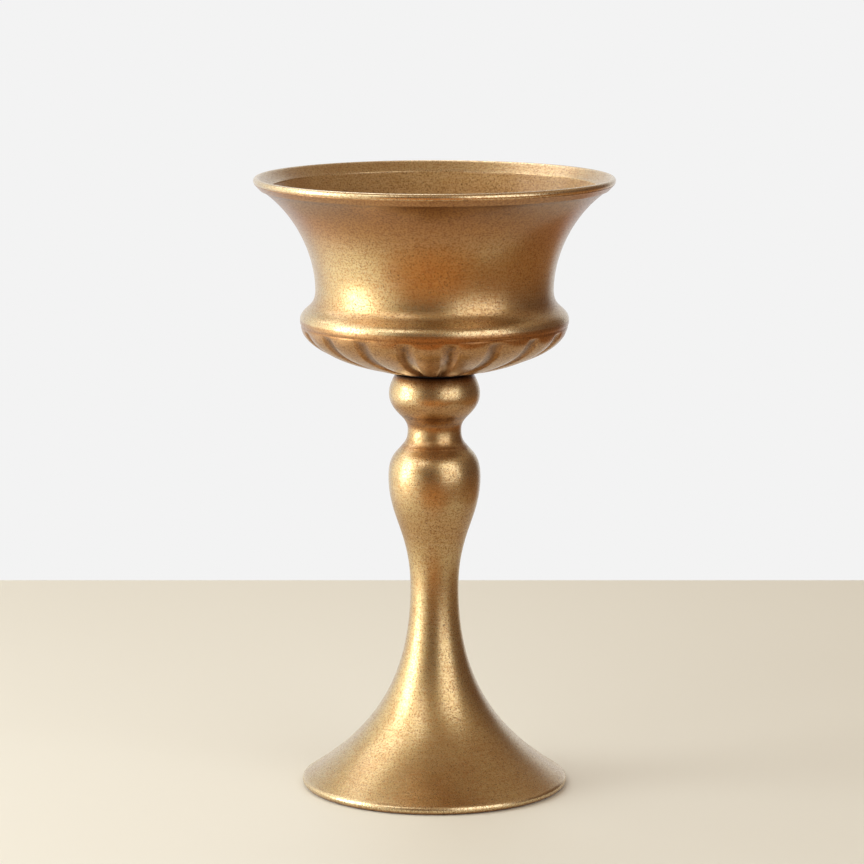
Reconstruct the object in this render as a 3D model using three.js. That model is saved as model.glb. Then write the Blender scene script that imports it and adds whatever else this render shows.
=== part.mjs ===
// Compote dish of spun and turned brass: a flared bowl with a grooved underside, carried by a
// knop, a neck and a baluster on a trumpet foot, all drawn together by one tie rod.
// Millimetres, +Z up. The origin is the centre of the circle on which the foot stands.
import * as THREE from 'three';

// Shells and clearances
const sheetThickness = 1.2;
const boreClearance = 0.4;
const threadClearance = 0.3;
const washerSideClearance = 1.8;

// Foot
const footRadius = 66.3;
const footHeight = 100;
const footShoulderRadius = 4.6;
const footEdgeRadius = 1.2;
const footHemWidth = 3.9;
const footLean = -57.5;
const footPull = [0.448, 0.472];
const throatRadius = 12;

// Baluster
const balusterHeight = 72;
const bellyRadius = 22.9;
const bellyHeight = 56;
const balusterTopRadius = 16.1;
const balusterTopLean = -34;
const bellyPull = [0.5, 0.365];
const balusterTopPull = [0.7, 0.25];

// Neck
const neckHeight = 15;
const neckRadius = 13.3;
const neckWaistHeight = 8;
const neckLean = 44;
const neckPull = 0.43;

// Knop
const knopHeight = 21.1;
const knopRadius = 22.6;
const knopBottomRadius = 16.8;
const knopEquatorHeight = 11;
const knopTopRadius = 19.7;
const knopEdgeRadius = 1.2;
const knopTopLean = -28;
const knopLowerPull = [0.25, 0.5];
const knopUpperPull = [0.37, 0.37];

// Seat between the knop and the bowl
const seatThickness = 1;
const seatInset = 1.9;

// Bowl
const bowlHeight = 96.4;
const bowlFloorRadius = 21;
const cupLean = 78;
const cupPull = [0.695, 0.59];
const beadRadius = 66.4;
const beadHeight = 25.9;
const waistRadius = 58.8;
const waistHeight = 40.4;
const beadPull = [0.4, 0.65];
const bandInset = 3.4;
const bandDepth = 5.7;
const flareLean = 56;
const flarePull = [0.37, 0.39];
const rimRadius = 89;
const rollRadius = 1.7;
const rollUnderside = -40;
const rollGroove = 0.5;
const bandProud = 0.4;
const lipWidth = 8.4;
const lipDrop = 4.8;
const lipStep = 0.5;
const rimThickening = 9;
const beadGrooveDepth = 0.35;
const beadGrooveWidth = 1.4;
const beadGrooveDrop = 2.6;

// Grooves pressed into the underside of the bowl
const grooveCount = 18;
const grooveWidth = 8.8;
const grooveDepth = 1.4;
const lobeCrown = 0.45;
const grooveInnerFade = 0.16;
const grooveUpperEnd = 0.94;
const grooveUpperFade = 0.1;

// Tie rod and its fittings
const rodRadius = 3;
const rodChamfer = 0.6;
const rodProud = 3;
const nutAcrossFlats = 10;
const nutHeight = 5;
const lockWasherThickness = 1.5;
const lockWasherRadius = 6;
const washerThickness = 1.2;
const gasketRadius = 11;
const gasketThickness = 1.5;
const bowlWasherInset = 1.5;

// Fineness of the turned surfaces, and of the curves in their sections
const shellSegments = 48;
const stemSegments = 36;
const fittingSegments = 20;
const lobeSteps = 2;
const footSteps = 10;
const cupSteps = 7;
const flareSteps = 6;
const balusterSteps = [7, 5];
const knopSteps = [5, 4];
const bendSteps = 4;
const rollSteps = 3;
const edgeSteps = 2;

// Levels, each standing on the one below
const balusterBottom = footHeight;
const neckBottom = balusterBottom + balusterHeight;
const knopBottom = neckBottom + neckHeight;
const knopTop = knopBottom + knopHeight;
const bowlBottom = knopTop + seatThickness;
const bowlFloor = bowlBottom + sheetThickness;
const gasketTop = bowlFloor + gasketThickness;
const bowlWasherTop = gasketTop + washerThickness;
const bowlNutTop = bowlWasherTop + nutHeight;
const throatFace = footHeight - sheetThickness;
const footWasherBottom = throatFace - washerThickness;
const lockWasherBottom = footWasherBottom - lockWasherThickness;
const footNutBottom = lockWasherBottom - nutHeight;
const boreRadius = rodRadius + boreClearance;
const grooveHalfAngle = THREE.MathUtils.radToDeg(grooveWidth / 2 / beadRadius);

const brassLook = { color: 0xa88a55, roughness: 0.38, metalness: 1 };
const rawBrassLook = { color: 0x9c8450, roughness: 0.5, metalness: 1 };
const steelLook = { color: 0x9a9a98, roughness: 0.45, metalness: 1 };
const gasketLook = { color: 0x2a2724, roughness: 0.9, metalness: 0 };

const radians = THREE.MathUtils.degToRad;

function point(radius, height) {
  return new THREE.Vector2(radius, height);
}

function heading(lean) {
  return point(Math.sin(radians(lean)), Math.cos(radians(lean)));
}

// A curve in the (radius, height) plane. A lean is the angle from straight up, positive outwards.
// A pull is how far each end holds its direction, as a share of the height that the curve climbs.
function swept(from, leanFrom, to, leanTo, pull, steps) {
  const climb = to.y - from.y;
  const first = from.clone().addScaledVector(heading(leanFrom), pull[0] * climb);
  const second = to.clone().addScaledVector(heading(leanTo), -pull[1] * climb);
  return new THREE.CubicBezierCurve(from, first, second, to).getPoints(steps);
}

function onCircle(centre, radius, angle) {
  const turn = radians(angle);
  return point(centre.x + radius * Math.cos(turn), centre.y + radius * Math.sin(turn));
}

function arc(centre, radius, fromAngle, toAngle, steps) {
  const points = [];
  for (let i = 0; i <= steps; i += 1) {
    points.push(onCircle(centre, radius, fromAngle + ((toAngle - fromAngle) * i) / steps));
  }
  return points;
}

// Outward normals of a profile that is followed upwards on its outer side
function normals(points) {
  return points.map((current, i) => {
    const before = points[Math.max(i - 1, 0)];
    const after = points[Math.min(i + 1, points.length - 1)];
    const along = after.clone().sub(before).normalize();
    return point(along.y, -along.x);
  });
}

function inset(points, distance) {
  const outward = normals(points);
  return points.map((current, i) => current.clone().addScaledVector(outward[i], -distance));
}

// Keeps the stretch of a line where measure is positive, cut exactly where it changes sign
function clipped(points, measure) {
  const kept = [];
  points.forEach((current, i) => {
    const here = measure(current);
    if (i > 0) {
      const previous = points[i - 1];
      const there = measure(previous);
      if (here > 0 !== there > 0) {
        kept.push(previous.clone().lerp(current, there / (there - here)));
      }
    }
    if (here > 0) kept.push(current);
  });
  return kept;
}

function joined(...runs) {
  const points = [];
  runs.flat().forEach((current) => {
    const last = points[points.length - 1];
    if (!last || last.distanceTo(current) > 1e-3) points.push(current);
  });
  return points;
}

function finished(name, geometry, look) {
  const mesh = new THREE.Mesh(geometry, new THREE.MeshStandardMaterial(look));
  mesh.name = name;
  return mesh;
}

// A turned piece: the closed loop of its section, anticlockwise, revolved about the Z axis
function turned(name, loop, segments, look) {
  const geometry = new THREE.LatheGeometry([...loop, loop[0].clone()], segments);
  geometry.rotateX(Math.PI / 2);
  return finished(name, geometry, look);
}

// A disc or a collar with a hole
function ring(name, innerRadius, outerRadius, bottom, top, look) {
  const loop = [
    point(innerRadius, bottom),
    point(outerRadius, bottom),
    point(outerRadius, top),
    point(innerRadius, top),
  ];
  return turned(name, loop, fittingSegments, look);
}

function hexNut(name, bottom, look) {
  const outline = new THREE.Shape();
  const cornerRadius = nutAcrossFlats / Math.sqrt(3);
  for (let i = 0; i < 6; i += 1) {
    const angle = radians(60 * i);
    const x = cornerRadius * Math.cos(angle);
    const y = cornerRadius * Math.sin(angle);
    if (i === 0) outline.moveTo(x, y);
    else outline.lineTo(x, y);
  }
  outline.closePath();
  const hole = new THREE.Path();
  hole.absarc(0, 0, rodRadius + threadClearance, 0, 2 * Math.PI, true);
  outline.holes.push(hole);
  const options = { depth: nutHeight, bevelEnabled: false, curveSegments: fittingSegments / 2 };
  const mesh = finished(name, new THREE.ExtrudeGeometry(outline, options), look);
  mesh.position.z = bottom;
  return mesh;
}

// The spun foot: a trumpet with a solid hem that stands flat and a drilled web in its throat
function trumpetFoot() {
  const shoulderCentre = point(footRadius - footShoulderRadius, footEdgeRadius);
  const edgeCentre = point(footRadius - footEdgeRadius, footEdgeRadius);
  const edge = arc(edgeCentre, footEdgeRadius, -90, 0, edgeSteps);
  const shoulder = arc(shoulderCentre, footShoulderRadius, 0, -footLean, bendSteps);
  const sweepStart = shoulder[shoulder.length - 1];
  const throat = point(throatRadius, footHeight);
  const sweep = swept(sweepStart, footLean, throat, 0, footPull, footSteps);
  const hemInner = footRadius - footHemWidth;
  const inner = clipped(inset(sweep, sheetThickness), (p) => Math.min(hemInner - p.x, throatFace - p.y));
  const loop = joined(
    [point(hemInner, 0)],
    edge,
    shoulder,
    sweep,
    [point(boreRadius, footHeight), point(boreRadius, throatFace)],
    inner.reverse(),
  );
  return turned('trumpet_foot', loop, shellSegments, brassLook);
}

// The baluster's outer line, swelling to the belly and drawn in again to the neck
function balusterOutline() {
  const bottom = point(throatRadius, balusterBottom);
  const belly = point(bellyRadius, balusterBottom + bellyHeight);
  const top = point(balusterTopRadius, neckBottom);
  return joined(
    swept(bottom, 0, belly, 0, bellyPull, balusterSteps[0]),
    swept(belly, 0, top, balusterTopLean, balusterTopPull, balusterSteps[1]),
  );
}

// The hollow baluster, closed at both ends by drilled webs
function baluster() {
  const outer = balusterOutline();
  const low = balusterBottom + sheetThickness;
  const high = neckBottom - sheetThickness;
  const inner = clipped(inset(outer, sheetThickness), (p) => Math.min(p.y - low, high - p.y));
  const loop = joined(
    [point(boreRadius, balusterBottom)],
    outer,
    [point(boreRadius, neckBottom), point(boreRadius, high)],
    inner.reverse(),
    [point(boreRadius, low)],
  );
  return turned('baluster', loop, stemSegments, brassLook);
}

// The turned neck, narrowest near its middle and flared to meet its neighbours
function neck() {
  const bottom = point(balusterTopRadius, neckBottom);
  const waist = point(neckRadius, neckBottom + neckWaistHeight);
  const top = point(knopBottomRadius, knopBottom);
  const pull = [neckPull, neckPull];
  const loop = joined(
    [point(boreRadius, neckBottom)],
    swept(bottom, -neckLean, waist, 0, pull, bendSteps),
    swept(waist, 0, top, neckLean, pull, bendSteps),
    [point(boreRadius, knopBottom)],
  );
  return turned('neck', loop, stemSegments, brassLook);
}

// The turned knop, a flattened ball with a flat top for the seat
function knop() {
  const bottom = point(knopBottomRadius, knopBottom);
  const equator = point(knopRadius, knopBottom + knopEquatorHeight);
  const edgeCentre = point(knopTopRadius - knopEdgeRadius, knopTop - knopEdgeRadius);
  const shoulder = arc(edgeCentre, knopEdgeRadius, -knopTopLean, 90, edgeSteps);
  const loop = joined(
    [point(boreRadius, knopBottom)],
    swept(bottom, neckLean, equator, 0, knopLowerPull, knopSteps[0]),
    swept(equator, 0, shoulder[0], knopTopLean, knopUpperPull, knopSteps[1]),
    shoulder,
    [point(boreRadius, knopTop)],
  );
  return turned('knop', loop, stemSegments, brassLook);
}

// How far a groove or a lobe moves the sheet inwards, at an angle from the groove's centre
function pressedIn(angle) {
  if (angle < grooveHalfAngle) return grooveDepth * (1 - angle / grooveHalfAngle);
  const across = (angle - grooveHalfAngle) / (180 / grooveCount - grooveHalfAngle);
  return -lobeCrown * Math.sin((across * Math.PI) / 2);
}

// The angles, in degrees, of the bowl's vertices: closer together across each groove
function bowlAngles() {
  const pitch = 360 / grooveCount;
  const lobeStep = (pitch / 2 - grooveHalfAngle) / lobeSteps;
  const angles = [];
  for (let groove = 0; groove < grooveCount; groove += 1) {
    const centre = groove * pitch;
    angles.push({ at: centre, off: 0 });
    for (let i = 0; i < 2 * lobeSteps + 1; i += 1) {
      const at = grooveHalfAngle + i * lobeStep;
      angles.push({ at: centre + at, off: Math.min(at, pitch - at) });
    }
  }
  return angles;
}

// A groove is pressed fully along the cup and fades out at both of its ends
function grooveStrength(along) {
  const inner = THREE.MathUtils.smoothstep(along, 0, grooveInnerFade);
  const upper = THREE.MathUtils.smoothstep(grooveUpperEnd - along, 0, grooveUpperFade);
  return inner * upper;
}

// The cup's section as rings, with the direction in which the grooves are pressed and how strongly
function groovedRings(points, outward) {
  const last = points.length - 1;
  return points.map((p, i) => ({ p, out: outward[i], press: grooveStrength(i / last) }));
}

function plainRings(points) {
  return points.map((p) => ({ p, out: point(0, 0), press: 0 }));
}

// A shallow line turned into the outside just under the bead, as three points: edge, floor, edge
function beadGrooveAcross(cup, cupNormals) {
  const middle = cup[cup.length - 1].y - beadGrooveDrop;
  const edges = [middle - beadGrooveWidth / 2, middle, middle + beadGrooveWidth / 2];
  return edges.map((height, i) => {
    const after = cup.findIndex((p) => p.y >= height);
    const before = cup[after - 1];
    const share = (height - before.y) / (cup[after].y - before.y);
    const on = before.clone().lerp(cup[after], share);
    return i === 1 ? on.addScaledVector(cupNormals[after], -beadGrooveDepth) : on;
  });
}

// The bowl's closed section: up the outside, over the rolled rim and down the inside
function bowlRings() {
  const floorEdge = point(bowlFloorRadius, bowlBottom);
  const bead = point(beadRadius, bowlBottom + beadHeight);
  const waist = point(waistRadius, bowlBottom + waistHeight);
  const rimTop = bowlBottom + bowlHeight;
  const flareTop = point(rimRadius - bandInset, rimTop - bandDepth);
  const cup = swept(floorEdge, cupLean, bead, 0, cupPull, cupSteps);
  const beadCurve = swept(bead, 0, waist, 0, beadPull, bendSteps);
  const flare = swept(waist, 0, flareTop, flareLean, flarePull, flareSteps);

  const rollCentre = point(rimRadius - rollRadius, rimTop - rollRadius);
  const bandFace = heading(flareLean + 90).multiplyScalar(bandProud);
  const roll = arc(rollCentre, rollRadius, rollUnderside, 90, rollSteps);
  const groove = point(roll[0].x - rollGroove, roll[0].y - rollGroove);
  const bandTop = point(roll[0].x - rollGroove / 2, groove.y - rollGroove);
  const lip = point(rimRadius - lipWidth, rimTop - lipDrop);
  const lipUnder = point(lip.x, lip.y - lipStep);

  const cupNormals = normals(cup);
  const cupInner = cup.map((p, i) => p.clone().addScaledVector(cupNormals[i], -sheetThickness));
  const thickeningStart = lipUnder.y - rimThickening;
  const wallInner = clipped(inset(flare, sheetThickness), (p) => thickeningStart - p.y);
  const beadInner = inset(beadCurve, sheetThickness);
  const beadGroove = beadGrooveAcross(cup, cupNormals);

  const outerCup = groovedRings(cup, cupNormals);
  const lastRing = outerCup.pop();
  const innerCup = groovedRings(cupInner, cupNormals);
  return [
    ...plainRings([point(boreRadius, bowlBottom)]),
    ...outerCup,
    ...plainRings(beadGroove),
    lastRing,
    ...plainRings(beadCurve.slice(1)),
    ...plainRings(flare.slice(1)),
    ...plainRings([flareTop.clone().add(bandFace), bandTop, groove, ...roll, lip, lipUnder]),
    ...plainRings(wallInner.reverse()),
    ...plainRings(beadInner.slice(1, -1).reverse()),
    ...innerCup.reverse(),
    ...plainRings([point(boreRadius, bowlFloor)]),
  ];
}

// The spun bowl. Its section is closed and carried round the axis, and the grooves press the
// outer and the inner face of the sheet alike.
function bowl() {
  const section = bowlRings();
  const angles = bowlAngles();
  const positions = [];
  section.forEach(({ p, out, press }) => {
    angles.forEach(({ at, off }) => {
      const inwards = press * pressedIn(off);
      const radius = p.x - out.x * inwards;
      const angle = radians(at);
      positions.push(radius * Math.cos(angle), radius * Math.sin(angle), p.y - out.y * inwards);
    });
  });
  const indices = [];
  const around = angles.length;
  for (let i = 0; i < section.length; i += 1) {
    const next = (i + 1) % section.length;
    for (let j = 0; j < around; j += 1) {
      const side = (j + 1) % around;
      const here = i * around + j;
      const beside = i * around + side;
      const above = next * around + j;
      const aboveBeside = next * around + side;
      indices.push(here, beside, aboveBeside, here, aboveBeside, above);
    }
  }
  const geometry = new THREE.BufferGeometry();
  geometry.setAttribute('position', new THREE.Float32BufferAttribute(positions, 3));
  geometry.setIndex(indices);
  geometry.computeVertexNormals();
  return finished('bowl', geometry, brassLook);
}

// The rod that draws the whole stack together
function tieRod() {
  const bottom = footNutBottom - rodProud;
  const top = bowlNutTop + rodProud;
  const loop = [
    point(0, bottom),
    point(rodRadius - rodChamfer, bottom),
    point(rodRadius, bottom + rodChamfer),
    point(rodRadius, top - rodChamfer),
    point(rodRadius - rodChamfer, top),
    point(0, top),
  ];
  const geometry = new THREE.LatheGeometry(loop, fittingSegments);
  geometry.rotateX(Math.PI / 2);
  return finished('tie_rod', geometry, steelLook);
}

const footWasherRadius = throatRadius - sheetThickness - washerSideClearance;
const seatRadius = knopTopRadius - seatInset;

const compote = new THREE.Group();
compote.add(
  trumpetFoot(),
  baluster(),
  neck(),
  knop(),
  ring('seat_washer', boreRadius, seatRadius, knopTop, bowlBottom, gasketLook),
  bowl(),
  ring('bowl_gasket', boreRadius, gasketRadius, bowlFloor, gasketTop, gasketLook),
  ring('bowl_washer', boreRadius, gasketRadius - bowlWasherInset, gasketTop, bowlWasherTop, rawBrassLook),
  hexNut('bowl_nut', bowlWasherTop, rawBrassLook),
  tieRod(),
  ring('foot_washer', boreRadius, footWasherRadius, footWasherBottom, throatFace, steelLook),
  ring('lock_washer', boreRadius, lockWasherRadius, lockWasherBottom, footWasherBottom, steelLook),
  hexNut('foot_nut', footNutBottom, steelLook),
);

export default compote;
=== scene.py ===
"""Compote dish of antique brass: a spun, grooved bowl on a turned stem and a trumpet foot.

Every new piece is a section carried round the Z axis, worked out as whole arrays.
Sections are in millimetres as (radius, height); meshes are in metres.
"""
import math

import bpy
import numpy as np
from bpy.props import FloatProperty, FloatVectorProperty, IntProperty, PointerProperty
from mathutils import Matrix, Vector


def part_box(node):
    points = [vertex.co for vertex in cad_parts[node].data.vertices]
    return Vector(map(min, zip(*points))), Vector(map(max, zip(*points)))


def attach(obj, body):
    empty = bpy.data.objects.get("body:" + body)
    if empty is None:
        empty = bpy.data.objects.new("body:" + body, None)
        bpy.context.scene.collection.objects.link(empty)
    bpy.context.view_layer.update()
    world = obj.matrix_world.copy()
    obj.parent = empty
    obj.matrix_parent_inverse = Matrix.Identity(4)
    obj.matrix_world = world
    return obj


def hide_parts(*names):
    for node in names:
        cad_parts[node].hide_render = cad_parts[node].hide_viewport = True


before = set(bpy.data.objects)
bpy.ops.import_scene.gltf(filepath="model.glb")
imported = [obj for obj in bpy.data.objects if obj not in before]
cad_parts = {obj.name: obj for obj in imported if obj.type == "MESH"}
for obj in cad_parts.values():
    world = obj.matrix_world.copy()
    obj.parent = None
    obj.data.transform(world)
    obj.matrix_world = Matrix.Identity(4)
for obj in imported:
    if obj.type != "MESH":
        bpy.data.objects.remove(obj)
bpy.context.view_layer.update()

bl_info = {
    "name": "Antique brass compote",
    "version": (1, 0, 0),
    "blender": (4, 5, 0),
    "location": "3D View > Sidebar > Compote",
    "description": "Builds a footed brass bowl with a rolled rim and a grooved underside",
    "category": "Object",
}

MM = 0.001
BODY = "root"


def corner(node, side, axis):
    """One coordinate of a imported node's box, in metres: side 0 is low, side 1 is high."""
    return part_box(node)[side][axis]


def length(name, description, value):
    """A length property; its value is in metres."""
    return FloatProperty(
        name=name, description=description, default=value, unit="LENGTH", subtype="DISTANCE",
    )


def lean(name, description, value):
    """A property for the angle of a section's line from straight up, in degrees, out positive."""
    return FloatProperty(name=name, description=description, default=value, min=-180, max=180)


def pull(name, first, last):
    """How far both ends of a curve hold their direction, as shares of the height it climbs."""
    words = "Share of the curve's climb over which its first and its last end run straight"
    return FloatVectorProperty(name=name, description=words, default=(first, last), size=2)


class CompoteBowlSizes(bpy.types.PropertyGroup):
    """Sizes of the spun bowl. Heights are above the bowl's underside."""

    rim_radius: length("Rim radius", "Outer radius of the rolled rim", corner("bowl", 1, 0))
    sheet: length("Sheet", "Thickness of the spun sheet", 0.0012)
    floor_radius: length("Floor radius", "Radius of the flat floor on the knop", 0.021)
    cup_lean: lean("Cup lean", "Lean of the cup where it leaves the floor", 78)
    cup_pull: pull("Cup pull", 0.695, 0.59)
    bead_radius: length("Bead radius", "Outer radius of the bead above the grooves", 0.0664)
    bead_height: length("Bead height", "Height of the bead's widest line", 0.0259)
    bead_pull: pull("Bead pull", 0.4, 0.65)
    crease_drop: length("Crease drop", "Drop from the bead's widest line to the turned line", 0.0026)
    crease_depth: length("Crease depth", "Depth of the turned line below the bead", 0.0002)
    crease_width: length("Crease width", "Width of the turned line below the bead", 0.0014)
    waist_radius: length("Waist radius", "Radius of the wall where it is narrowest", 0.0588)
    waist_height: length("Waist height", "Height of the wall's narrowest line", 0.0404)
    flare_radius: length("Flare radius", "Radius where the wall meets the rim's band", 0.0856)
    flare_height: length("Flare height", "Height where the wall meets the rim's band", 0.0907)
    flare_lean: lean("Flare lean", "Lean of the wall where it meets the rim's band", 56)
    flare_pull: pull("Flare pull", 0.37, 0.39)
    band_proud: length("Band", "How far the rim's band stands out from the wall", 0.0004)
    roll_radius: length("Roll radius", "Radius of the roll along the rim", 0.0017)
    roll_groove: length("Roll groove", "Size of the groove under the roll", 0.0002)
    lip_radius: length("Lip radius", "Radius of the lip's inner edge", 0.0806)
    lip_drop: length("Lip drop", "Drop from the rim to the lip's inner edge", 0.0048)
    lip_step: length("Lip step", "Step from the lip down to the wall", 0.0004)
    thickening: length("Thickening", "Height over which the wall thickens to the lip", 0.009)
    grooves: IntProperty(
        name="Grooves", description="Number of grooves pressed into the underside",
        default=18, min=3, max=60,
    )
    groove_width: length("Groove width", "Width of a groove at the bead", 0.0088)
    groove_depth: length("Groove depth", "Depth of a groove below the lobes' edges", 0.0014)
    arris_width: length("Arris width", "Width of the rubbed edge between groove and lobe", 0.0009)
    lobe_crown: length("Lobe crown", "Swelling of a lobe between two grooves", 0.00045)


class CompoteStemSizes(bpy.types.PropertyGroup):
    """Sizes of the knop, the neck and the baluster."""

    knop_radius: length("Knop radius", "Largest radius of the knop", corner("knop", 1, 0))
    knop_equator: length("Knop equator", "Height of the knop's widest line", 0.011)
    knop_top: length("Knop top", "Radius of the knop's top", 0.0197)
    knop_edge: length("Knop edge", "Radius of the rounding at the knop's top", 0.0012)
    knop_top_lean: lean("Knop top lean", "Lean of the knop's side at its top edge", -28)
    knop_bottom: length("Knop bottom", "Radius where the knop meets the neck", 0.0168)
    neck_radius: length("Neck radius", "Radius of the neck where it is narrowest", 0.0133)
    neck_waist: length("Neck waist", "Height of the neck's narrowest line", 0.008)
    neck_lean: lean("Neck lean", "Lean of the neck at both of its ends", 44)
    baluster_top: length("Baluster top", "Radius where the baluster meets the neck", 0.0161)
    baluster_lean: lean("Baluster lean", "Lean of the baluster at its top", -34)
    belly_radius: length("Belly radius", "Largest radius of the baluster", corner("baluster", 1, 0))
    belly_height: length("Belly height", "Height of the baluster's widest line", 0.056)
    throat_radius: length("Throat radius", "Radius where the baluster meets the foot", 0.012)
    sheet: length("Sheet", "Thickness of the baluster's wall", 0.0012)


class CompoteFootSizes(bpy.types.PropertyGroup):
    """Sizes of the trumpet foot."""

    radius: length("Foot radius", "Outer radius of the foot's hem", corner("trumpet_foot", 1, 0))
    shoulder: length("Shoulder radius", "Radius of the bend above the hem", 0.0024)
    edge: length("Edge radius", "Radius of the rounding under the hem", 0.0022)
    hem_width: length("Hem width", "Width of the hem that the foot stands on", 0.0039)
    foot_lean: lean("Foot lean", "Lean of the trumpet where it leaves the shoulder", -57.5)
    foot_pull: pull("Foot pull", 0.448, 0.472)
    sheet: length("Sheet", "Thickness of the spun sheet", 0.0012)


def linear(code):
    """An sRGB hex code as a linear colour with alpha."""
    channels = [int(code[i:i + 2], 16) / 255 for i in (1, 3, 5)]
    return [c / 12.92 if c <= 0.04045 else ((c + 0.055) / 1.055) ** 2.4 for c in channels] + [1.0]


def colour(name, description, code):
    """A colour property; code is its sRGB hex code."""
    return FloatVectorProperty(
        name=name, description=description, default=linear(code), size=4, subtype="COLOR",
        min=0, max=1,
    )


class CompoteColours(bpy.types.PropertyGroup):
    """Colours of the brass and of the table."""

    brass: colour("Brass", "The brass in its middle tone", "#CAB27C")
    # Besides the brass's own darker toning, this tone paints in shade and warm reflection where the
    # patina_and_shade value asks for it.
    shade: colour("Shade", "The brass where it is toned darker", "#A87236")
    rubbed: colour("Rubbed", "The brass where it is rubbed bright", "#E7D4AD")
    # Besides real patina in folds and pores, this colour paints the deepest shade: the bowl's shadow on
    # the knop's top, the seat and the hem's underside.
    patina: colour("Patina", "The dark patina in folds and pores", "#4C311B")
    table: colour("Table", "The pale table", "#EBEDE3")


def mm(value):
    """Metres as millimetres."""
    return value / MM


def heading(angle):
    """Unit direction that leans out from straight up by an angle in degrees."""
    return np.array([math.sin(math.radians(angle)), math.cos(math.radians(angle))])


def swept(start, start_lean, end, end_lean, pulls, times):
    """Cubic curve between two points: (1-t)^3 a + 3(1-t)^2 t b + 3(1-t) t^2 c + t^3 d.

    b lies on the first lean from a and c on the second before d, each by its share of the climb.
    times is a number of equal steps of t, or the values of t themselves.
    """
    t = (np.linspace(0, 1, times) if np.ndim(times) == 0 else times)[:, None]
    a, d = np.array(start, float), np.array(end, float)
    climb = d[1] - a[1]
    b = a + pulls[0] * climb * heading(start_lean)
    c = d - pulls[1] * climb * heading(end_lean)
    return (1 - t) ** 3 * a + 3 * (1 - t) ** 2 * t * b + 3 * (1 - t) * t ** 2 * c + t ** 3 * d


def arc(centre, radius, first, last, count):
    """Points at centre + radius (cos a, sin a), with a from first to last in degrees."""
    a = np.radians(np.linspace(first, last, count))
    return np.array(centre, float) + radius * np.stack([np.cos(a), np.sin(a)], 1)


def straight(start, end, count):
    """Points at equal steps from start to end."""
    t = np.linspace(0, 1, count)[:, None]
    return np.array(start, float) * (1 - t) + np.array(end, float) * t


def outward(points):
    """Unit normals to the right of the direction of travel."""
    along = np.gradient(points, axis=0)
    along /= np.linalg.norm(along, axis=1)[:, None]
    return np.stack([along[:, 1], -along[:, 0]], 1)


def section(*runs):
    """Runs of points joined into one closed loop, without repeated points."""
    points = np.concatenate([np.atleast_2d(run) for run in runs])
    step = np.linalg.norm(points - np.roll(points, 1, axis=0), axis=1)
    return points[step > 1e-4]


def bell(distance, reach):
    """exp(-(distance / reach)^2)."""
    return np.exp(-((distance / reach) ** 2))


def smooth(value, low, high):
    """0 below low, 1 above high, and 3u^2 - 2u^3 between."""
    u = np.clip((value - low) / (high - low), 0, 1)
    return u * u * (3 - 2 * u)


def bends(points, reach):
    """How sharply a closed section turns, as (convex, concave) between 0 and 1.

    The turning angle at each point is spread over a bell of that reach in millimetres.
    """
    sharp_ridge, sharp_fold = 0.35, 0.5
    step = np.roll(points, -1, axis=0) - points
    size = np.linalg.norm(step, axis=1)
    travel = np.concatenate([[0], np.cumsum(size)[:-1]])
    angle = np.arctan2(step[:, 1], step[:, 0])
    turn = (angle - np.roll(angle, 1) + np.pi) % (2 * np.pi) - np.pi
    gap = np.abs(travel[:, None] - travel[None, :])
    gap = np.minimum(gap, size.sum() - gap)
    spread = bell(gap, reach) @ turn / (reach * math.sqrt(math.pi))
    return np.clip(spread / sharp_ridge, 0, 1), np.clip(-spread / sharp_fold, 0, 1)


def mesh_from_grid(name, co, values, closed=True):
    """A mesh from a grid of points (section, angle, 3) in millimetres, closed round the angle.

    An open section gets a flat face over its first and its last ring. values are named arrays of
    the grid's shape, kept as attributes on the points.
    """
    rows, around = co.shape[:2]
    index = np.arange(rows * around).reshape(rows, around)
    last = rows if closed else rows - 1
    here, above = index[:last], np.roll(index, -1, axis=0)[:last]
    quads = np.stack([here, np.roll(here, -1, 1), np.roll(above, -1, 1), above], -1).reshape(-1, 4)
    loops, starts = quads.ravel(), np.arange(0, quads.size, 4)
    if not closed:
        loops = np.concatenate([loops, index[0][::-1], index[-1]])
        starts = np.append(starts, [quads.size, quads.size + around])
    mesh = bpy.data.meshes.new(name)
    mesh.vertices.add(rows * around)
    mesh.vertices.foreach_set("co", (co * MM).astype(np.float32).ravel())
    mesh.loops.add(len(loops))
    mesh.loops.foreach_set("vertex_index", loops.astype(np.int32))
    mesh.polygons.add(len(starts))
    mesh.polygons.foreach_set("loop_start", starts.astype(np.int32))
    mesh.polygons.foreach_set("use_smooth", np.ones(len(starts), bool))
    for key, array in values.items():
        layer = mesh.attributes.new(key, "FLOAT", "POINT")
        layer.data.foreach_set("value", np.ascontiguousarray(array, np.float32).ravel())
    mesh.update(calc_edges=True)
    mesh.validate()
    mesh.set_sharp_from_angle(angle=math.radians(38))
    return mesh


def revolve(points, angles, push=None, patina_and_painted_shade=0.0, dull=0.0, rub=0.0, joints=(), reach=1.2):
    """Carries a closed section round the axis: (r cos a, r sin a, z).

    push moves the grid's points in (radius, height), patina_and_painted_shade adds patina and
    painted shade, dull takes polish away and rub adds wear, each of the grid's shape. No wear shows
    near the heights in joints.
    Returns the grid and its values.
    """
    moved = points[:, None, :] + np.zeros((1, len(angles), 1)) + (0 if push is None else push)
    radius, height = moved[..., 0], moved[..., 1]
    co = np.stack([radius * np.cos(angles), radius * np.sin(angles), height], -1)
    worn, patina_and_shade = bends(points, reach)
    for joint in joints:
        worn = worn * (1 - bell(points[:, 1] - joint, 2.0))
    travel = np.cumsum(np.linalg.norm(np.diff(points, axis=0, prepend=points[:1]), axis=1))
    flat = np.zeros(radius.shape)
    values = {
        "along": travel[:, None] + flat,
        "worn": np.clip(worn[:, None] + rub + flat, 0, 1),
        "patina_and_shade": np.clip(patina_and_shade[:, None] + patina_and_painted_shade + flat, 0, 1),
        "dull": dull + flat,
    }
    return co, values


def even_angles(count):
    """Equal steps round the axis, in radians."""
    return np.arange(count) * (2 * np.pi / count)


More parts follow.
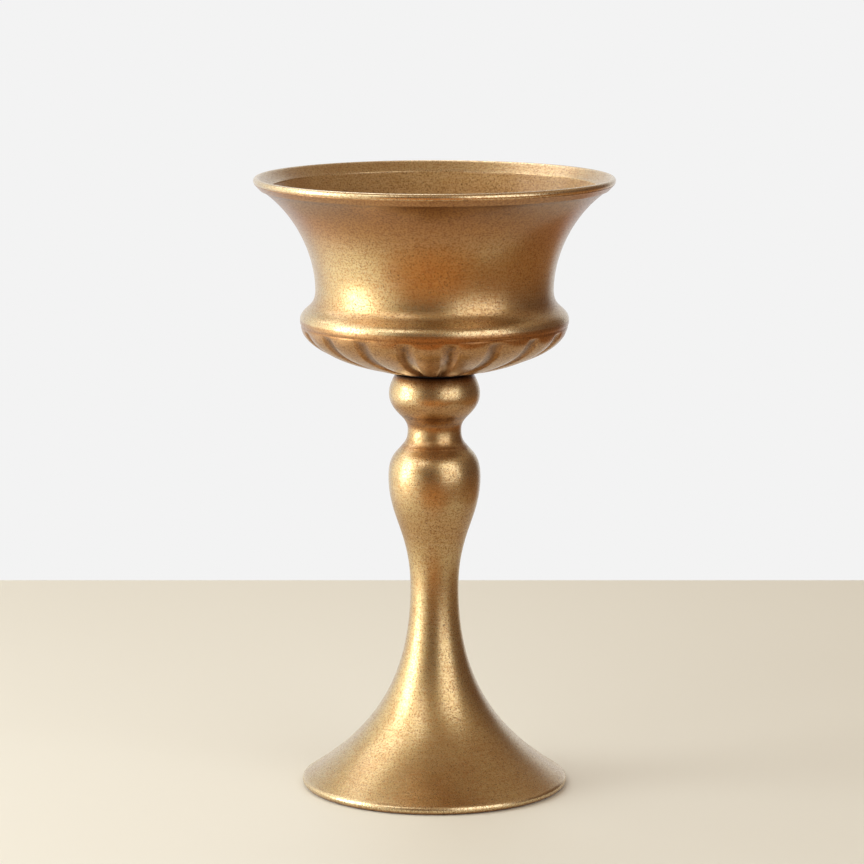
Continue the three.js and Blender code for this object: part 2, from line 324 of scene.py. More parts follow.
def place(name, mesh, material, slot, *nodes):
    """Links a finished piece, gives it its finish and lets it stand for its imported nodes."""
    piece = bpy.data.objects.new(name, mesh)
    bpy.context.scene.collection.objects.link(piece)
    mesh.materials.append(material)
    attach(piece, BODY)
    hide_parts(*nodes)
    return piece


def node(tree, kind, links=None, **settings):
    """Adds a node. settings are its properties, links its sockets by name or number.

    A link's value is another node's output, or a constant for that socket.
    """
    new = tree.nodes.new(kind)
    for key, value in settings.items():
        setattr(new, key, value)
    for key, value in (links or {}).items():
        if isinstance(value, bpy.types.NodeSocket):
            tree.links.new(value, new.inputs[key])
        else:
            new.inputs[key].default_value = value
    return new


def ramp(tree, value, low, high, start=0.0, end=1.0):
    """A value taken smoothly from start at low to end at high."""
    links = {"Value": value, "From Min": low, "From Max": high, "To Min": start, "To Max": end}
    return node(tree, "ShaderNodeMapRange", links, interpolation_type="SMOOTHSTEP").outputs["Result"]


def blend(tree, amount, first, second):
    """first where amount is 0 and second where it is 1."""
    return node(tree, "ShaderNodeMix", {0: amount, 6: first, 7: second}, data_type="RGBA").outputs[2]


def maths(tree, operation, first, second=0.0):
    """One arithmetic step on two values."""
    return node(tree, "ShaderNodeMath", {0: first, 1: second}, operation=operation).outputs[0]


def attribute(tree, name):
    """A value kept on the mesh's points."""
    return node(tree, "ShaderNodeAttribute", attribute_name=name).outputs["Fac"]


def grain(tree, where, size, detail=2.0, roughness=0.5):
    """Noise whose lumps measure about size millimetres on a vector in millimetres."""
    links = {"Vector": where, "Scale": 1.0 / size, "Detail": detail, "Roughness": roughness}
    return node(tree, "ShaderNodeTexNoise", links).outputs["Fac"]


def new_material(name):
    """An empty material with one Principled shader; returns (material, tree, shader)."""
    material = bpy.data.materials.new(name)
    material.use_nodes = True
    tree = material.node_tree
    tree.nodes.clear()
    shader = node(tree, "ShaderNodeBsdfPrincipled")
    node(tree, "ShaderNodeOutputMaterial", {"Surface": shader.outputs["BSDF"]})
    return material, tree, shader


def millimetres(tree):
    """Object coordinates in millimetres."""
    where = node(tree, "ShaderNodeTexCoord").outputs["Object"]
    return node(tree, "ShaderNodeVectorMath", {0: where, "Scale": 1000.0}, operation="SCALE").outputs[0]


def brushed(tree, where, long, wide):
    """Vector on which noise draws lines round the axis, so long and so wide in millimetres."""
    parts = node(tree, "ShaderNodeSeparateXYZ", {0: where})
    x = maths(tree, "DIVIDE", parts.outputs["X"], long)
    y = maths(tree, "DIVIDE", parts.outputs["Y"], long)
    lines = maths(tree, "DIVIDE", attribute(tree, "along"), wide)
    return node(tree, "ShaderNodeCombineXYZ", {"X": x, "Y": y, "Z": lines}).outputs[0]


def antique_brass_lacquer():
    """Spun brass, brushed on the lathe, darkened with patina, rubbed back and lacquered.

    The brushing gives lines round the axis, drawn coarser than real ones so that they show, and
    draws the highlights out along the height. The patina stays dark in folds and pores, the
    rubbing leaves raised edges pale, and the clear lacquer lays a whiter gleam over the metal's.
    The shade and patina colours also paint in shade and warm reflection where patina_and_shade
    asks for it: at joints and the seat, under the rim's flare and roll, on faces turned down and
    under the hem.
    """
    material, tree, shader = new_material("antique brass lacquer")
    colours = bpy.context.scene.compote_colours
    where = millimetres(tree)
    patina_and_shade, worn, dull = (attribute(tree, name) for name in ("patina_and_shade", "worn", "dull"))
    lines = grain(tree, brushed(tree, where, 9.0, 0.5), 1.0, 3.0, 0.7)
    pores = grain(tree, where, 0.6, 2.0, 0.65)
    flecks = grain(tree, where, 1.0, 2.0, 0.7)
    clouds = grain(tree, where, 11.0, 4.0, 0.65)
    broad = grain(tree, where, 45.0, 2.0)

    tone = blend(tree, ramp(tree, clouds, 0.42, 0.72, 0.0, 0.25), colours.brass, colours.shade)
    tone = blend(tree, ramp(tree, broad, 0.4, 0.68, 0.0, 0.2), tone, colours.shade)
    tone = blend(tree, ramp(tree, lines, 0.4, 0.68, 0.0, 0.32), tone, colours.rubbed)
    polished = maths(tree, "SUBTRACT", 1.0, maths(tree, "MULTIPLY", dull, 0.6))
    toned = maths(tree, "MULTIPLY", polished, ramp(tree, flecks, 0.48, 0.62, 0.0, 0.6))
    tone = blend(tree, toned, tone, colours.shade)
    rubbed = maths(tree, "MULTIPLY", worn, ramp(tree, flecks, 0.3, 0.6, 0.85, 0.3))
    tone = blend(tree, rubbed, tone, colours.rubbed)
    # patina_and_shade blends in the shade tone and then the patina: real patina in folds, and painted
    # shade and warm reflection at joints and the seat, under the rim's flare and roll, on faces turned
    # down and under the hem.
    tone = blend(tree, ramp(tree, patina_and_shade, 0.0, 0.55, 0.0, 0.9), tone, colours.shade)
    tone = blend(tree, ramp(tree, patina_and_shade, 0.45, 1.0, 0.0, 0.9), tone, colours.patina)
    spots = maths(tree, "MULTIPLY", patina_and_shade, ramp(tree, flecks, 0.47, 0.6, 0.0, 0.7))
    tone = blend(tree, spots, tone, colours.patina)
    tone = blend(tree, ramp(tree, pores, 0.57, 0.67, 0.0, 0.8), tone, colours.patina)
    tree.links.new(tone, shader.inputs["Base Color"])

    rough = ramp(tree, flecks, 0.35, 0.7, 0.27, 0.4)
    rough = maths(tree, "ADD", rough, maths(tree, "MULTIPLY", patina_and_shade, 0.14))
    rough = maths(tree, "ADD", rough, maths(tree, "MULTIPLY", dull, 0.4))
    rough = maths(tree, "SUBTRACT", rough, maths(tree, "MULTIPLY", worn, 0.06))
    tree.links.new(rough, shader.inputs["Roughness"])

    height = maths(tree, "ADD", lines, maths(tree, "MULTIPLY", flecks, 0.9))
    height = maths(tree, "SUBTRACT", height, ramp(tree, pores, 0.6, 0.7, 0.0, 0.8))
    relief = node(tree, "ShaderNodeBump", {"Height": height, "Strength": 0.5, "Distance": 0.00008})
    tree.links.new(relief.outputs["Normal"], shader.inputs["Normal"])
    turning = node(tree, "ShaderNodeTangent", direction_type="RADIAL", axis="Z")
    tree.links.new(turning.outputs["Tangent"], shader.inputs["Tangent"])
    shader.inputs["Metallic"].default_value = 1.0
    shader.inputs["Anisotropic"].default_value = 0.25
    shader.inputs["Coat Weight"].default_value = 0.7
    shader.inputs["Coat Roughness"].default_value = 0.22
    return material


def turned_brass():
    """Plain turned brass fittings: bright, with tool marks drawn coarse enough to show."""
    material, tree, shader = new_material("turned brass")
    where = millimetres(tree)
    marks = grain(tree, brushed(tree, where, 6.0, 0.35), 1.0, 2.0, 0.6)
    stains = grain(tree, where, 5.0, 3.0, 0.6)
    tone = blend(tree, ramp(tree, stains, 0.4, 0.7, 0.0, 0.6), linear("#C9A760"), linear("#93713A"))
    tree.links.new(tone, shader.inputs["Base Color"])
    tree.links.new(ramp(tree, marks, 0.3, 0.7, 0.28, 0.44), shader.inputs["Roughness"])
    relief = node(tree, "ShaderNodeBump", {"Height": marks, "Strength": 0.3, "Distance": 0.00003})
    tree.links.new(relief.outputs["Normal"], shader.inputs["Normal"])
    shader.inputs["Metallic"].default_value = 1.0
    return material


def zinc_plated_steel():
    """Bright zinc plate on steel: grey, faintly spangled and a little dull."""
    material, tree, shader = new_material("zinc plated steel")
    where = millimetres(tree)
    spangle = grain(tree, where, 1.2, 2.0, 0.5)
    tone = blend(tree, ramp(tree, spangle, 0.35, 0.65), linear("#A9ABAA"), linear("#8C8E8E"))
    tree.links.new(tone, shader.inputs["Base Color"])
    tree.links.new(ramp(tree, spangle, 0.3, 0.7, 0.34, 0.5), shader.inputs["Roughness"])
    shader.inputs["Metallic"].default_value = 1.0
    return material


def black_rubber():
    """Moulded nitrile rubber: nearly black, matt, with a fine grain from the mould."""
    material, tree, shader = new_material("black nitrile rubber")
    where = millimetres(tree)
    skin = grain(tree, where, 0.6, 2.0, 0.6)
    tone = blend(tree, ramp(tree, skin, 0.35, 0.65), linear("#2A2521"), linear("#1B1815"))
    tree.links.new(tone, shader.inputs["Base Color"])
    relief = node(tree, "ShaderNodeBump", {"Height": skin, "Strength": 0.3, "Distance": 0.00004})
    tree.links.new(relief.outputs["Normal"], shader.inputs["Normal"])
    shader.inputs["Roughness"].default_value = 0.8
    shader.inputs["IOR"].default_value = 1.52
    return material


FINISHES = {
    "antique brass lacquer": antique_brass_lacquer,
    "turned brass": turned_brass,
    "zinc plated steel": zinc_plated_steel,
    "black nitrile rubber": black_rubber,
}


def finish(name):
    """The material of that name, made once."""
    return bpy.data.materials.get(name) or FINISHES[name]()


BORE = 3.4
FACE_INSET = 0.3


def web(radius, height, outwards=True):
    """A flat face from the bore to just short of its edge, or back again."""
    points = straight((BORE, height), (radius - FACE_INSET, height), 4)
    return points if outwards else points[::-1]


def groove_angles(grooves, edge, steps):
    """Angles round the bowl, in radians, and each one's distance from its groove's centre.

    Both the groove, out to its edge, and the lobe beyond it are cut into equal steps.
    """
    pitch = 2 * math.pi / grooves
    groove = np.linspace(-edge, edge, steps[0], endpoint=False)
    lobe = np.linspace(edge, pitch - edge, steps[1], endpoint=False)
    within = np.concatenate([groove, lobe])
    off = np.minimum(np.abs(within), pitch - within)
    centres = np.arange(grooves) * pitch
    return (centres[:, None] + within[None, :]).ravel(), np.tile(off, grooves)


def pressed(off, edge, sizes):
    """Inward depth of the pressing at an angle off a groove's centre.

    A hollow, depth cos(90 degrees off / edge), between lobes that swell by crown sin.
    """
    within = np.clip(off / edge, 0, 1)
    across = np.clip((off - edge) / (math.pi / sizes.grooves - edge), 0, 1)
    hollow = mm(sizes.groove_depth) * np.cos(within * np.pi / 2)
    return hollow - mm(sizes.lobe_crown) * np.sin(across * np.pi / 2)


INNER_STAIN = 0.22
# The cup's tone is partly real toning and partly a painted warm reflection on its down-facing lobes.
CUP_TONE_AND_PAINTED_REFLECTION = 0.4
DOWN_FACING_PAINTED_SHADE = 0.4
GROOVE_STAIN = 0.35


def plain(points, patina_and_painted_shade=0.0, dull=0.0):
    """A run that no groove reaches: its points, and their push, their patina and painted shade, and
    their dullness.
    """
    points = np.atleast_2d(points)
    even = np.ones(len(points))
    return points, np.zeros_like(points), patina_and_painted_shade * even, dull * even


def cup_runs(sizes, base):
    """The grooved cup from its floor to the bead, outside and inside, each as a run.

    The turned line below the bead is cut along the normal by depth exp(-(z / width)^2).
    """
    times = np.sort(np.concatenate([np.linspace(0, 1, 46), np.linspace(0.905, 0.985, 16)]))
    floor = (mm(sizes.floor_radius), base)
    bead = (mm(sizes.bead_radius), base + mm(sizes.bead_height))
    cup = swept(floor, sizes.cup_lean, bead, 0, sizes.cup_pull, times)
    normal = outward(cup)
    push = -normal * (smooth(times, 0, 0.16) * smooth(0.94 - times, 0, 0.1))[:, None]
    line = bell(cup[:, 1] - bead[1] + mm(sizes.crease_drop), mm(sizes.crease_width) / 2)
    outside = cup - normal * (line * mm(sizes.crease_depth))[:, None]
    inside = cup - normal * mm(sizes.sheet)
    # Painted shade with patina where the cup leaves the floor that sits on the knop.
    seat = 0.9 * (1 - smooth(times, 0.02, 0.16))
    patina_and_painted_shade = np.clip(seat + 0.15 * line + CUP_TONE_AND_PAINTED_REFLECTION, 0, 1)
    even = np.ones(len(times[::-2]))
    return (outside, push, patina_and_painted_shade, 0 * times), (inside[::-2], push[::-2], INNER_STAIN * even, even)


def rim_runs(sizes, flare, top):
    """The rim's band, groove, roll and lip, and the inner wall down to the waist, as runs."""
    roll_radius = mm(sizes.roll_radius)
    roll = arc((mm(sizes.rim_radius) - roll_radius, top - roll_radius), roll_radius, -40, 90, 12)
    groove = roll[0] - mm(sizes.roll_groove)
    band_top = groove + np.array([0.5, -1]) * mm(sizes.roll_groove)
    band_bottom = flare[-1] + outward(flare)[-1] * mm(sizes.band_proud)
    lip = np.array([mm(sizes.lip_radius), top - mm(sizes.lip_drop)])
    lip_round = 0.25
    lip_edge = arc(lip + (lip_round, -lip_round), lip_round, 125, 180, 4)
    foot = lip - (0, mm(sizes.lip_step))
    wall = flare - outward(flare) * mm(sizes.sheet)
    wall = wall[wall[:, 1] < foot[1] - mm(sizes.thickening)]
    rise = wall[-1] - wall[-2]
    wall_lean = math.degrees(math.atan2(rise[0], rise[1]))
    chord = foot - wall[-1]
    chord_lean = math.degrees(math.atan2(chord[0], chord[1]))
    thick = swept(wall[-1], wall_lean, foot, chord_lean, (0.35, 0.35), 12)
    return [
        # The band under the roll is darkened as painted shade, the groove under the roll as painted
        # shade with patina.
        plain(straight(band_bottom, band_top, 6), 0.5), plain(groove, 0.4), plain(roll),
        plain(straight(roll[-1] - (0.8, 0.5), lip_edge[0] + (0.4, 0.3), 7), 0.12), plain(lip_edge),
        plain(thick[::-1], INNER_STAIN, 1.0), plain(wall[:-1][::-1], INNER_STAIN, 1.0),
    ]


class OBJECT_OT_compote_bowl(bpy.types.Operator):
    """Build the spun bowl with its rolled rim, its bead and its pressed grooves"""

    bl_idname = "object.compote_bowl"
    bl_label = "Bowl"

    def execute(self, context):
        sizes = context.scene.compote_bowl
        base, top = mm(corner("bowl", 0, 2)), mm(corner("bowl", 1, 2))
        sheet, floor = mm(sizes.sheet), mm(sizes.floor_radius)
        cup, cup_inside = cup_runs(sizes, base)
        bead = (mm(sizes.bead_radius), base + mm(sizes.bead_height))
        waist = (mm(sizes.waist_radius), base + mm(sizes.waist_height))
        flare_top = (mm(sizes.flare_radius), base + mm(sizes.flare_height))
        swell = swept(bead, 0, waist, 0, sizes.bead_pull, 24)
        flare = swept(waist, 0, flare_top, sizes.flare_lean, sizes.flare_pull, 34)
        swell_inside = (swell - outward(swell) * sheet)[1:-1][::-2]
        # Painted shade on the upper wall under the rim's flare, deepening towards the band.
        painted_shade_under_rim = 0.6 * smooth(flare[1:, 1], waist[1] + 10, flare_top[1])
        runs = [
            # The floor run, sitting on the knop, is darkened as painted shade with patina.
            plain(web(floor, base), 0.9), cup, plain(swell[1:]), plain(flare[1:], painted_shade_under_rim),
            *rim_runs(sizes, flare, top), plain(swell_inside, INNER_STAIN, 1.0), cup_inside,
            plain(web(floor, base + sheet, False), INNER_STAIN, 1.0),
        ]
        points, push, patina_and_painted_shade, dull = (np.concatenate(part) for part in zip(*runs))

        edge = sizes.groove_width / 2 / sizes.bead_radius
        angles, off = groove_angles(sizes.grooves, edge, (13, 10))
        force = np.linalg.norm(push, axis=1)[:, None]
        push = push[:, None, :] * pressed(off, edge, sizes)[None, :, None]
        patina_and_painted_shade = patina_and_painted_shade[:, None] + GROOVE_STAIN * force * np.cos(np.clip(off / edge, 0, 1) * np.pi / 2)
        rub = 0.8 * force * bell(off - edge, sizes.arris_width / 2 / sizes.bead_radius)
        co, values = revolve(points, angles, push, patina_and_painted_shade, dull[:, None], rub)
        mesh = mesh_from_grid("bowl_shell", co, values)
        place("bowl_shell", mesh, finish("antique brass lacquer"), "brass", "bowl")
        return {"FINISHED"}


class OBJECT_OT_compote_stem(bpy.types.Operator):
    """Build the knop, the neck and the baluster"""

    bl_idname = "object.compote_stem"
    bl_label = "Stem"

    def execute(self, context):
        sizes = context.scene.compote_stem
        self.baluster(sizes)
        self.neck(sizes)
        self.knop(sizes)
        return {"FINISHED"}

    def turn(self, name, packed, points, seams):
        """Places one turned piece of the stem, with painted shade where it faces down and patina with
        painted shade near its seams.

        seams are triples: a height, a reach and a strength.
        """
        # Painted warm shade on faces that turn down, standing in for a warm reflection from below; each
        # seam adds patina and painted shade in its joint.
        patina_and_painted_shade = DOWN_FACING_PAINTED_SHADE * smooth(-outward(points)[:, 1], 0, 0.5)
        for height, reach, strength in seams:
            patina_and_painted_shade = patina_and_painted_shade + strength * bell(points[:, 1] - height, reach)
        joints = [seam[0] for seam in seams]
        co, values = revolve(points, even_angles(160), None, patina_and_painted_shade[:, None], joints=joints)
        mesh = mesh_from_grid(name, co, values)
        place(name, mesh, finish("antique brass lacquer"), "brass", packed)

    def baluster(self, sizes):
        """The hollow baluster, closed at both ends by drilled webs."""
        low, high = mm(corner("baluster", 0, 2)), mm(corner("baluster", 1, 2))
        sheet = mm(sizes.sheet)
        throat = (mm(sizes.throat_radius), low)
        belly = (mm(sizes.belly_radius), low + mm(sizes.belly_height))
        joint = (mm(sizes.baluster_top), high)
        outline = section(
            swept(throat, 0, belly, 0, (0.5, 0.365), 60),
            swept(belly, 0, joint, sizes.baluster_lean, (0.7, 0.25), 28)[1:],
        )
        inside = (outline - outward(outline) * sheet)[::-1]
        inside = inside[(inside[:, 1] > low + sheet) & (inside[:, 1] < high - sheet)]
        points = section(
            web(throat[0], low), outline, web(joint[0], high, False),
            [(BORE, high - sheet)], inside, [(BORE, low + sheet)],
        )
        self.turn("baluster_shell", "baluster", points, [(low, 0.7, 0), (high, 1.6, 0.35)])

    def neck(self, sizes):
        """The turned neck, narrowest near its middle."""
        low, high = mm(corner("neck", 0, 2)), mm(corner("neck", 1, 2))
        bottom, top = (mm(sizes.baluster_top), low), (mm(sizes.knop_bottom), high)
        waist = (mm(sizes.neck_radius), low + mm(sizes.neck_waist))
        points = section(
            web(bottom[0], low),
            swept(bottom, -sizes.neck_lean, waist, 0, (0.43, 0.43), 16),
            swept(waist, 0, top, sizes.neck_lean, (0.43, 0.43), 16)[1:],
            web(top[0], high, False),
        )
        self.turn("neck_collar", "neck", points, [(low, 1.6, 0.35), (high, 1.2, 0.35)])

    def knop(self, sizes):
        """The turned knop, a flattened ball whose top carries the seat."""
        low, high = mm(corner("knop", 0, 2)), mm(corner("knop", 1, 2))
        bottom = (mm(sizes.knop_bottom), low)
        equator = (mm(sizes.knop_radius), low + mm(sizes.knop_equator))
        edge, top = mm(sizes.knop_edge), mm(sizes.knop_top)
        rounding = arc((top - edge, high - edge), edge, -sizes.knop_top_lean, 90, 6)
        points = section(
            web(bottom[0], low),
            swept(bottom, sizes.neck_lean, equator, 0, (0.25, 0.5), 26),
            swept(equator, 0, rounding[0], sizes.knop_top_lean, (0.37, 0.37), 20)[1:],
            rounding, web(top - edge, high, False),
        )
        # The knop's top, under the bowl, is darkened strongly as painted shadow of the bowl, with
        # patina.
        self.turn("knop_ball", "knop", points, [(low, 1.2, 0.35), (high, 2.4, 0.95)])


class OBJECT_OT_compote_foot(bpy.types.Operator):
    """Build the spun trumpet foot with its hem"""

    bl_idname = "object.compote_foot"
    bl_label = "Foot"

    def execute(self, context):
        sizes = context.scene.compote_foot
        radius, bend, edge = mm(sizes.radius), mm(sizes.shoulder), mm(sizes.edge)
        top, sheet = mm(corner("trumpet_foot", 1, 2)), mm(sizes.sheet)
        throat = (mm(context.scene.compote_stem.throat_radius), top)
        shoulder = arc((radius - bend, edge), bend, 0, -sizes.foot_lean, 12)
        sweep = swept(shoulder[-1], sizes.foot_lean, throat, 0, sizes.foot_pull, 110)
        hem, hem_round = radius - mm(sizes.hem_width), 0.15
        inside = (sweep - outward(sweep) * sheet)[::-1]
        inside = inside[(inside[:, 0] < hem) & (inside[:, 1] < top - sheet)]
        points = section(
            [(hem, hem_round), (hem + hem_round, 0)],
            arc((radius - edge, edge), edge, -90, 0, 8), shoulder, sweep[1:],
            web(throat[0], top, False), [(BORE, top - sheet)], inside,
        )
        # Painted contact shadow: the hem darkens towards the table.
        patina_and_painted_shade = 0.7 * bell(points[:, 1], 1.5)
        co, values = revolve(points, even_angles(256), None, patina_and_painted_shade[:, None], joints=(top,))
        mesh = mesh_from_grid("foot_shell", co, values)
        place("foot_shell", mesh, finish("antique brass lacquer"), "brass", "trumpet_foot")
        return {"FINISHED"}


def washer(name, packed, material, slot, edge):
    """A flat ring with rounded edges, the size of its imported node."""
    low, high = mm(corner(packed, 0, 2)), mm(corner(packed, 1, 2))
    radius = mm(corner(packed, 1, 0))
    points = section(
        arc((BORE + edge, low + edge), edge, 180, 270, 4),
        arc((radius - edge, low + edge), edge, 270, 360, 4),
        arc((radius - edge, high - edge), edge, 0, 90, 4),
        arc((BORE + edge, high - edge), edge, 90, 180, 4),
    )
    co, values = revolve(points, even_angles(96), reach=0.3)
    place(name, mesh_from_grid(name, co, values), finish(material), slot, packed)


def hexagon_nut(name, packed, material, slot):
    """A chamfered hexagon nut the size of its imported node.

    Round the axis the radius is a / cos(angle from the flat's middle), cut at both ends by a cone
    that starts just inside the flats. The bore is a plain circle with a countersink.
    """
    low, high = mm(corner(packed, 0, 2)), mm(corner(packed, 1, 2))
    flat, bore, sink = mm(corner(packed, 1, 1)), 3.3, 0.35
    cone_inset, cone_rise, cone_spread = 0.3, 1.0, 1.7
    angles = even_angles(144)
    sixth = np.pi / 3
    hexagon = flat / np.cos(angles % sixth - sixth / 2)
    step = np.linspace(0, 1, 9)
    rise = np.concatenate([low + step * cone_rise, high - step[::-1] * cone_rise])
    cone = flat - cone_inset + cone_spread * np.concatenate([step, step[::-1]])
    outer = np.minimum(hexagon[None, :], cone[:, None])
    inner = np.array([[bore + sink], [bore], [bore], [bore + sink]]) * np.ones((1, len(angles)))
    radius = np.concatenate([outer, inner])
    height = np.concatenate([rise, [high, high - sink, low + sink, low]])[:, None] + 0 * radius
    co = np.stack([radius * np.cos(angles), radius * np.sin(angles), height], -1)
    values = {"along": height, "worn": 0 * radius, "patina_and_shade": 0 * radius}
    place(name, mesh_from_grid(name, co, values), finish(material), slot, packed)


def threaded_rod(name, packed, material, slot):
    """The tie rod with its thread: radius - depth |2u - 1|, u = z / pitch - a / 2 pi, mod 1."""
    low, high = mm(corner(packed, 0, 2)), mm(corner(packed, 1, 2))
    radius, pitch, depth, chamfer = mm(corner(packed, 1, 0)), 1.0, 0.55, 0.7
    rings_per_pitch = 8
    angles = even_angles(36)
    z = np.linspace(low, high, int((high - low) / pitch * rings_per_pitch) + 1)
    turn = (z[:, None] / pitch - angles[None, :] / (2 * np.pi)) % 1
    from_end = np.minimum(z - low, high - z)[:, None]
    thread = np.minimum(radius - depth * np.abs(2 * turn - 1), radius - chamfer + from_end)
    height = z[:, None] + 0 * thread
    co = np.stack([thread * np.cos(angles), thread * np.sin(angles), height], -1)
    values = {"along": height, "worn": 0 * thread, "patina_and_shade": 0 * thread}
    place(name, mesh_from_grid(name, co, values, closed=False), finish(material), slot, packed)


class OBJECT_OT_compote_fittings(bpy.types.Operator):
    """Build the seat, the gasket, the washers, the nuts and the threaded tie rod"""

    bl_idname = "object.compote_fittings"
    bl_label = "Fittings"

    def execute(self, context):
        rubber, brass, steel = "black nitrile rubber", "turned brass", "zinc plated steel"
        washer("seat_ring", "seat_washer", rubber, "gasket", 0.3)
        washer("bowl_gasket_ring", "bowl_gasket", rubber, "gasket", 0.3)
        washer("bowl_washer_ring", "bowl_washer", brass, "raw_brass", 0.2)
        washer("foot_washer_ring", "foot_washer", steel, "steel", 0.2)
        washer("lock_washer_ring", "lock_washer", steel, "steel", 0.15)
        hexagon_nut("bowl_hex_nut", "bowl_nut", brass, "raw_brass")
        hexagon_nut("foot_hex_nut", "foot_nut", steel, "steel")
        threaded_rod("tie_rod_thread", "tie_rod", steel, "steel")
        return {"FINISHED"}


CAMERA_DISTANCE = 1.8151
CAMERA_HEIGHT = 0.4792
CAMERA_PITCH = 9.411
CAMERA_TURN = 3.1
CAMERA_ASIDE = 0.00123
FOCAL_PIXELS = 3707.3
FRAME_PIXELS = 864
SENSOR = 36.0
TABLE_TOP = -0.00005
TABLE_BACK = 0.499
TABLE_FRONT = -0.2
TABLE_HALF_WIDTH = 0.29


def on_circle(turn, distance, height):
    """A place at that distance from the axis, turned from the camera's side towards +X."""
    a = math.radians(turn)
    return (distance * math.sin(a), -distance * math.cos(a), height)


def softbox(name, turn, distance, height, width, tall, radiance, aim):
    """A rectangular white lamp that faces a height on the axis and shows that radiance.

    Its power is pi times its area times its radiance.
    """
    data = bpy.data.lights.new(name, "AREA")
    data.shape = "RECTANGLE"
    data.size, data.size_y = width, tall
    data.energy = math.pi * width * tall * radiance
    data.color = (1.0, 0.99, 0.98)
    lamp = bpy.data.objects.new(name, data)
    bpy.context.scene.collection.objects.link(lamp)
    lamp.location = on_circle(turn, distance, height)
    tilt = math.acos((height - aim) / math.hypot(distance, height - aim))
    lamp.rotation_euler = (tilt, 0, math.radians(turn))
    lamp.visible_camera = False
    return lamp


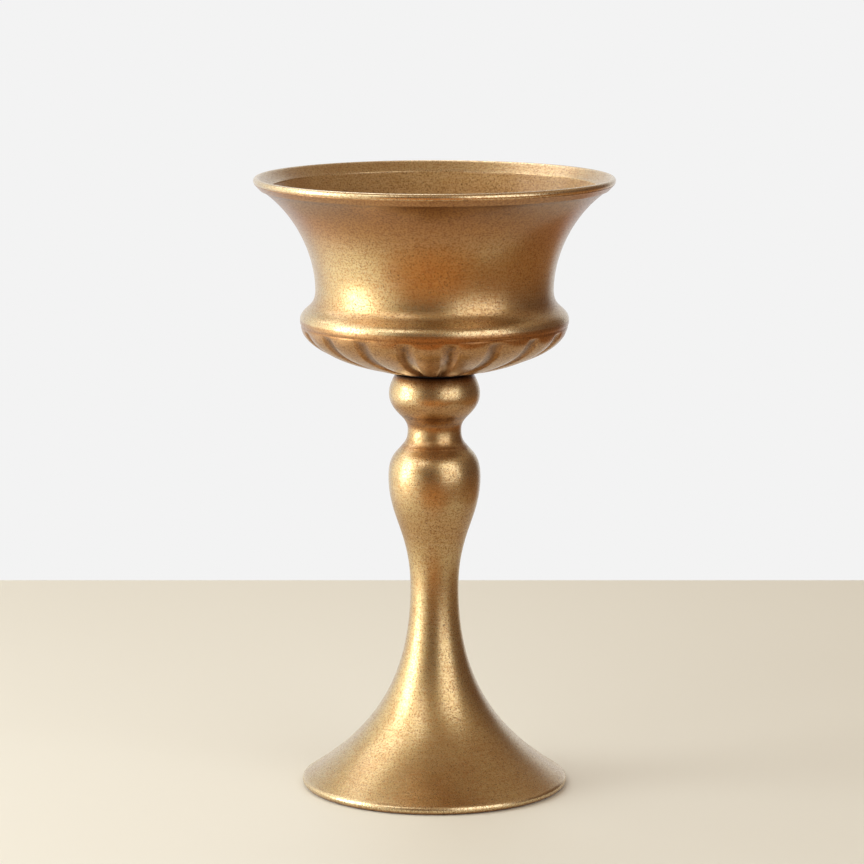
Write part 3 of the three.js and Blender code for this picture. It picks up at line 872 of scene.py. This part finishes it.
class OBJECT_OT_compote_stage(bpy.types.Operator):
    """Set the pale table, the white surroundings, the soft lamps and the camera"""

    bl_idname = "object.compote_stage"
    bl_label = "Stage"

    def execute(self, context):
        scene = context.scene
        scene.view_settings.view_transform = "Standard"
        self.table(scene)
        self.surroundings(scene)
        self.lamps()
        self.camera(scene)
        return {"FINISHED"}

    def table(self, scene):
        """A plain pale board whose back edge lies behind the dish, square to the camera.

        It lies a hair under the hem, so that the two never share a plane.
        """
        a = math.radians(CAMERA_TURN)
        right, back = np.array([math.cos(a), math.sin(a)]), np.array([-math.sin(a), math.cos(a)])
        sides, ends = (-TABLE_HALF_WIDTH, TABLE_HALF_WIDTH), (TABLE_FRONT, TABLE_BACK)
        corners = [(sides[0], ends[0]), (sides[1], ends[0]), (sides[1], ends[1]), (sides[0], ends[1])]
        verts = [(*(right * x + back * y), TABLE_TOP) for x, y in corners]
        mesh = bpy.data.meshes.new("table")
        mesh.from_pydata(verts, [], [(0, 1, 2, 3)])
        board = bpy.data.objects.new("table", mesh)
        scene.collection.objects.link(board)
        material, tree, shader = new_material("pale matt board")
        shader.inputs["Base Color"].default_value = scene.compote_colours.table
        shader.inputs["Roughness"].default_value = 0.55
        shader.inputs["Specular IOR Level"].default_value = 0.3
        mesh.materials.append(material)

    def surroundings(self, scene):
        """White to the camera, and to the metal where it lies behind the dish.

        The rest of what the metal shows is a bright left side, a dim warm room in front, a brown
        glow from below and a duller one from above.
        """
        world = bpy.data.worlds.new("studio")
        world.use_nodes = True
        tree = world.node_tree
        tree.nodes.clear()
        toward = node(tree, "ShaderNodeTexCoord").outputs["Generated"]
        parts = node(tree, "ShaderNodeSeparateXYZ", {0: toward})
        above = ramp(tree, parts.outputs["Z"], 0.3, 0.7)
        below = ramp(tree, parts.outputs["Z"], -0.05, -0.4)
        beside = ramp(tree, parts.outputs["X"], -0.4, -0.8)
        aside = maths(tree, "MULTIPLY", parts.outputs["X"], 0.2)
        behind = ramp(tree, maths(tree, "SUBTRACT", parts.outputs["Y"], aside), 0.65, 0.95)
        right = ramp(tree, parts.outputs["X"], 0.1, 0.7)
        ground = blend(tree, right, (0.64, 0.29, 0.1, 1), (0.36, 0.18, 0.075, 1))
        room = blend(tree, below, (0.17, 0.10, 0.065, 1), ground)
        room = blend(tree, beside, room, (1.4, 1.33, 1.18, 1))
        room = blend(tree, behind, room, (0.9, 0.9, 0.9, 1))
        room = blend(tree, above, room, (0.42, 0.30, 0.20, 1))
        light = node(tree, "ShaderNodeBackground", {"Color": room, "Strength": 1.0})
        seen = node(tree, "ShaderNodeBackground", {"Color": linear("#F3F3F3"), "Strength": 1.0})
        path = node(tree, "ShaderNodeLightPath").outputs
        mirrored = maths(tree, "MAXIMUM", path["Is Glossy Ray"], path["Is Transmission Ray"])
        mirrored = maths(tree, "MULTIPLY", mirrored, behind)
        shown = maths(tree, "MAXIMUM", path["Is Camera Ray"], mirrored)
        either = node(
            tree, "ShaderNodeMixShader",
            {0: shown, 1: light.outputs["Background"], 2: seen.outputs["Background"]},
        )
        node(tree, "ShaderNodeOutputWorld", {"Surface": either.outputs["Shader"]})
        scene.world = world

    def lamps(self):
        """A tall box at the left with a high one to each side of it, and two more.

        The wide box at the front right fills the shadows, and the one behind lights the lip.
        """
        softbox("key", -75, 1.2, 0.42, 0.64, 1.05, 4.0, 0.2)
        softbox("high", -98, 0.9, 1.0, 1.1, 0.55, 1.8, 0.15)
        softbox("top", -40, 0.85, 0.98, 0.55, 0.55, 1.6, 0.15)
        softbox("fill", 45, 1.2, 0.66, 1.05, 1.28, 1.7, 0.6)
        softbox("rear", -158, 0.9, 1.35, 0.7, 0.6, 2.2, 0.25)

    def camera(self, scene):
        """The photograph's own camera, fitted to the rim, the foot and the outline."""
        data = bpy.data.cameras.new("camera")
        data.sensor_width = SENSOR
        data.lens = SENSOR * FOCAL_PIXELS / FRAME_PIXELS
        camera = bpy.data.objects.new("camera", data)
        scene.collection.objects.link(camera)
        a = math.radians(CAMERA_TURN)
        x, y, z = on_circle(CAMERA_TURN, CAMERA_DISTANCE, CAMERA_HEIGHT)
        camera.location = (x - CAMERA_ASIDE * math.cos(a), y - CAMERA_ASIDE * math.sin(a), z)
        camera.rotation_euler = (math.radians(90 - CAMERA_PITCH), 0, a)
        scene.camera = camera


class VIEW3D_PT_compote(bpy.types.Panel):
    """Sizes, colours and steps of the compote dish"""

    bl_label = "Compote"
    bl_idname = "VIEW3D_PT_compote"
    bl_space_type = "VIEW_3D"
    bl_region_type = "UI"
    bl_category = "Compote"

    def draw(self, context):
        layout = self.layout
        for title, group in (
            ("Bowl", context.scene.compote_bowl),
            ("Stem", context.scene.compote_stem),
            ("Foot", context.scene.compote_foot),
            ("Colours", context.scene.compote_colours),
        ):
            box = layout.box()
            box.label(text=title)
            for key in group.__annotations__:
                box.prop(group, key)
        for step in STEPS:
            layout.operator(step.bl_idname)


GROUPS = {
    "compote_bowl": CompoteBowlSizes,
    "compote_stem": CompoteStemSizes,
    "compote_foot": CompoteFootSizes,
    "compote_colours": CompoteColours,
}
STEPS = (
    OBJECT_OT_compote_bowl,
    OBJECT_OT_compote_stem,
    OBJECT_OT_compote_foot,
    OBJECT_OT_compote_fittings,
    OBJECT_OT_compote_stage,
)


def register():
    """Registers the sizes, the steps and the panel."""
    for name, group in GROUPS.items():
        bpy.utils.register_class(group)
        setattr(bpy.types.Scene, name, PointerProperty(type=group))
    for step in STEPS:
        bpy.utils.register_class(step)
    bpy.utils.register_class(VIEW3D_PT_compote)


def unregister():
    """Takes the panel, the steps and the sizes away again."""
    bpy.utils.unregister_class(VIEW3D_PT_compote)
    for step in reversed(STEPS):
        bpy.utils.unregister_class(step)
    for name, group in reversed(list(GROUPS.items())):
        delattr(bpy.types.Scene, name)
        bpy.utils.unregister_class(group)


def main():
    register()
    bpy.ops.object.compote_bowl()
    bpy.ops.object.compote_stem()
    bpy.ops.object.compote_foot()
    bpy.ops.object.compote_fittings()
    bpy.ops.object.compote_stage()


if __name__ == "__main__":
    main()
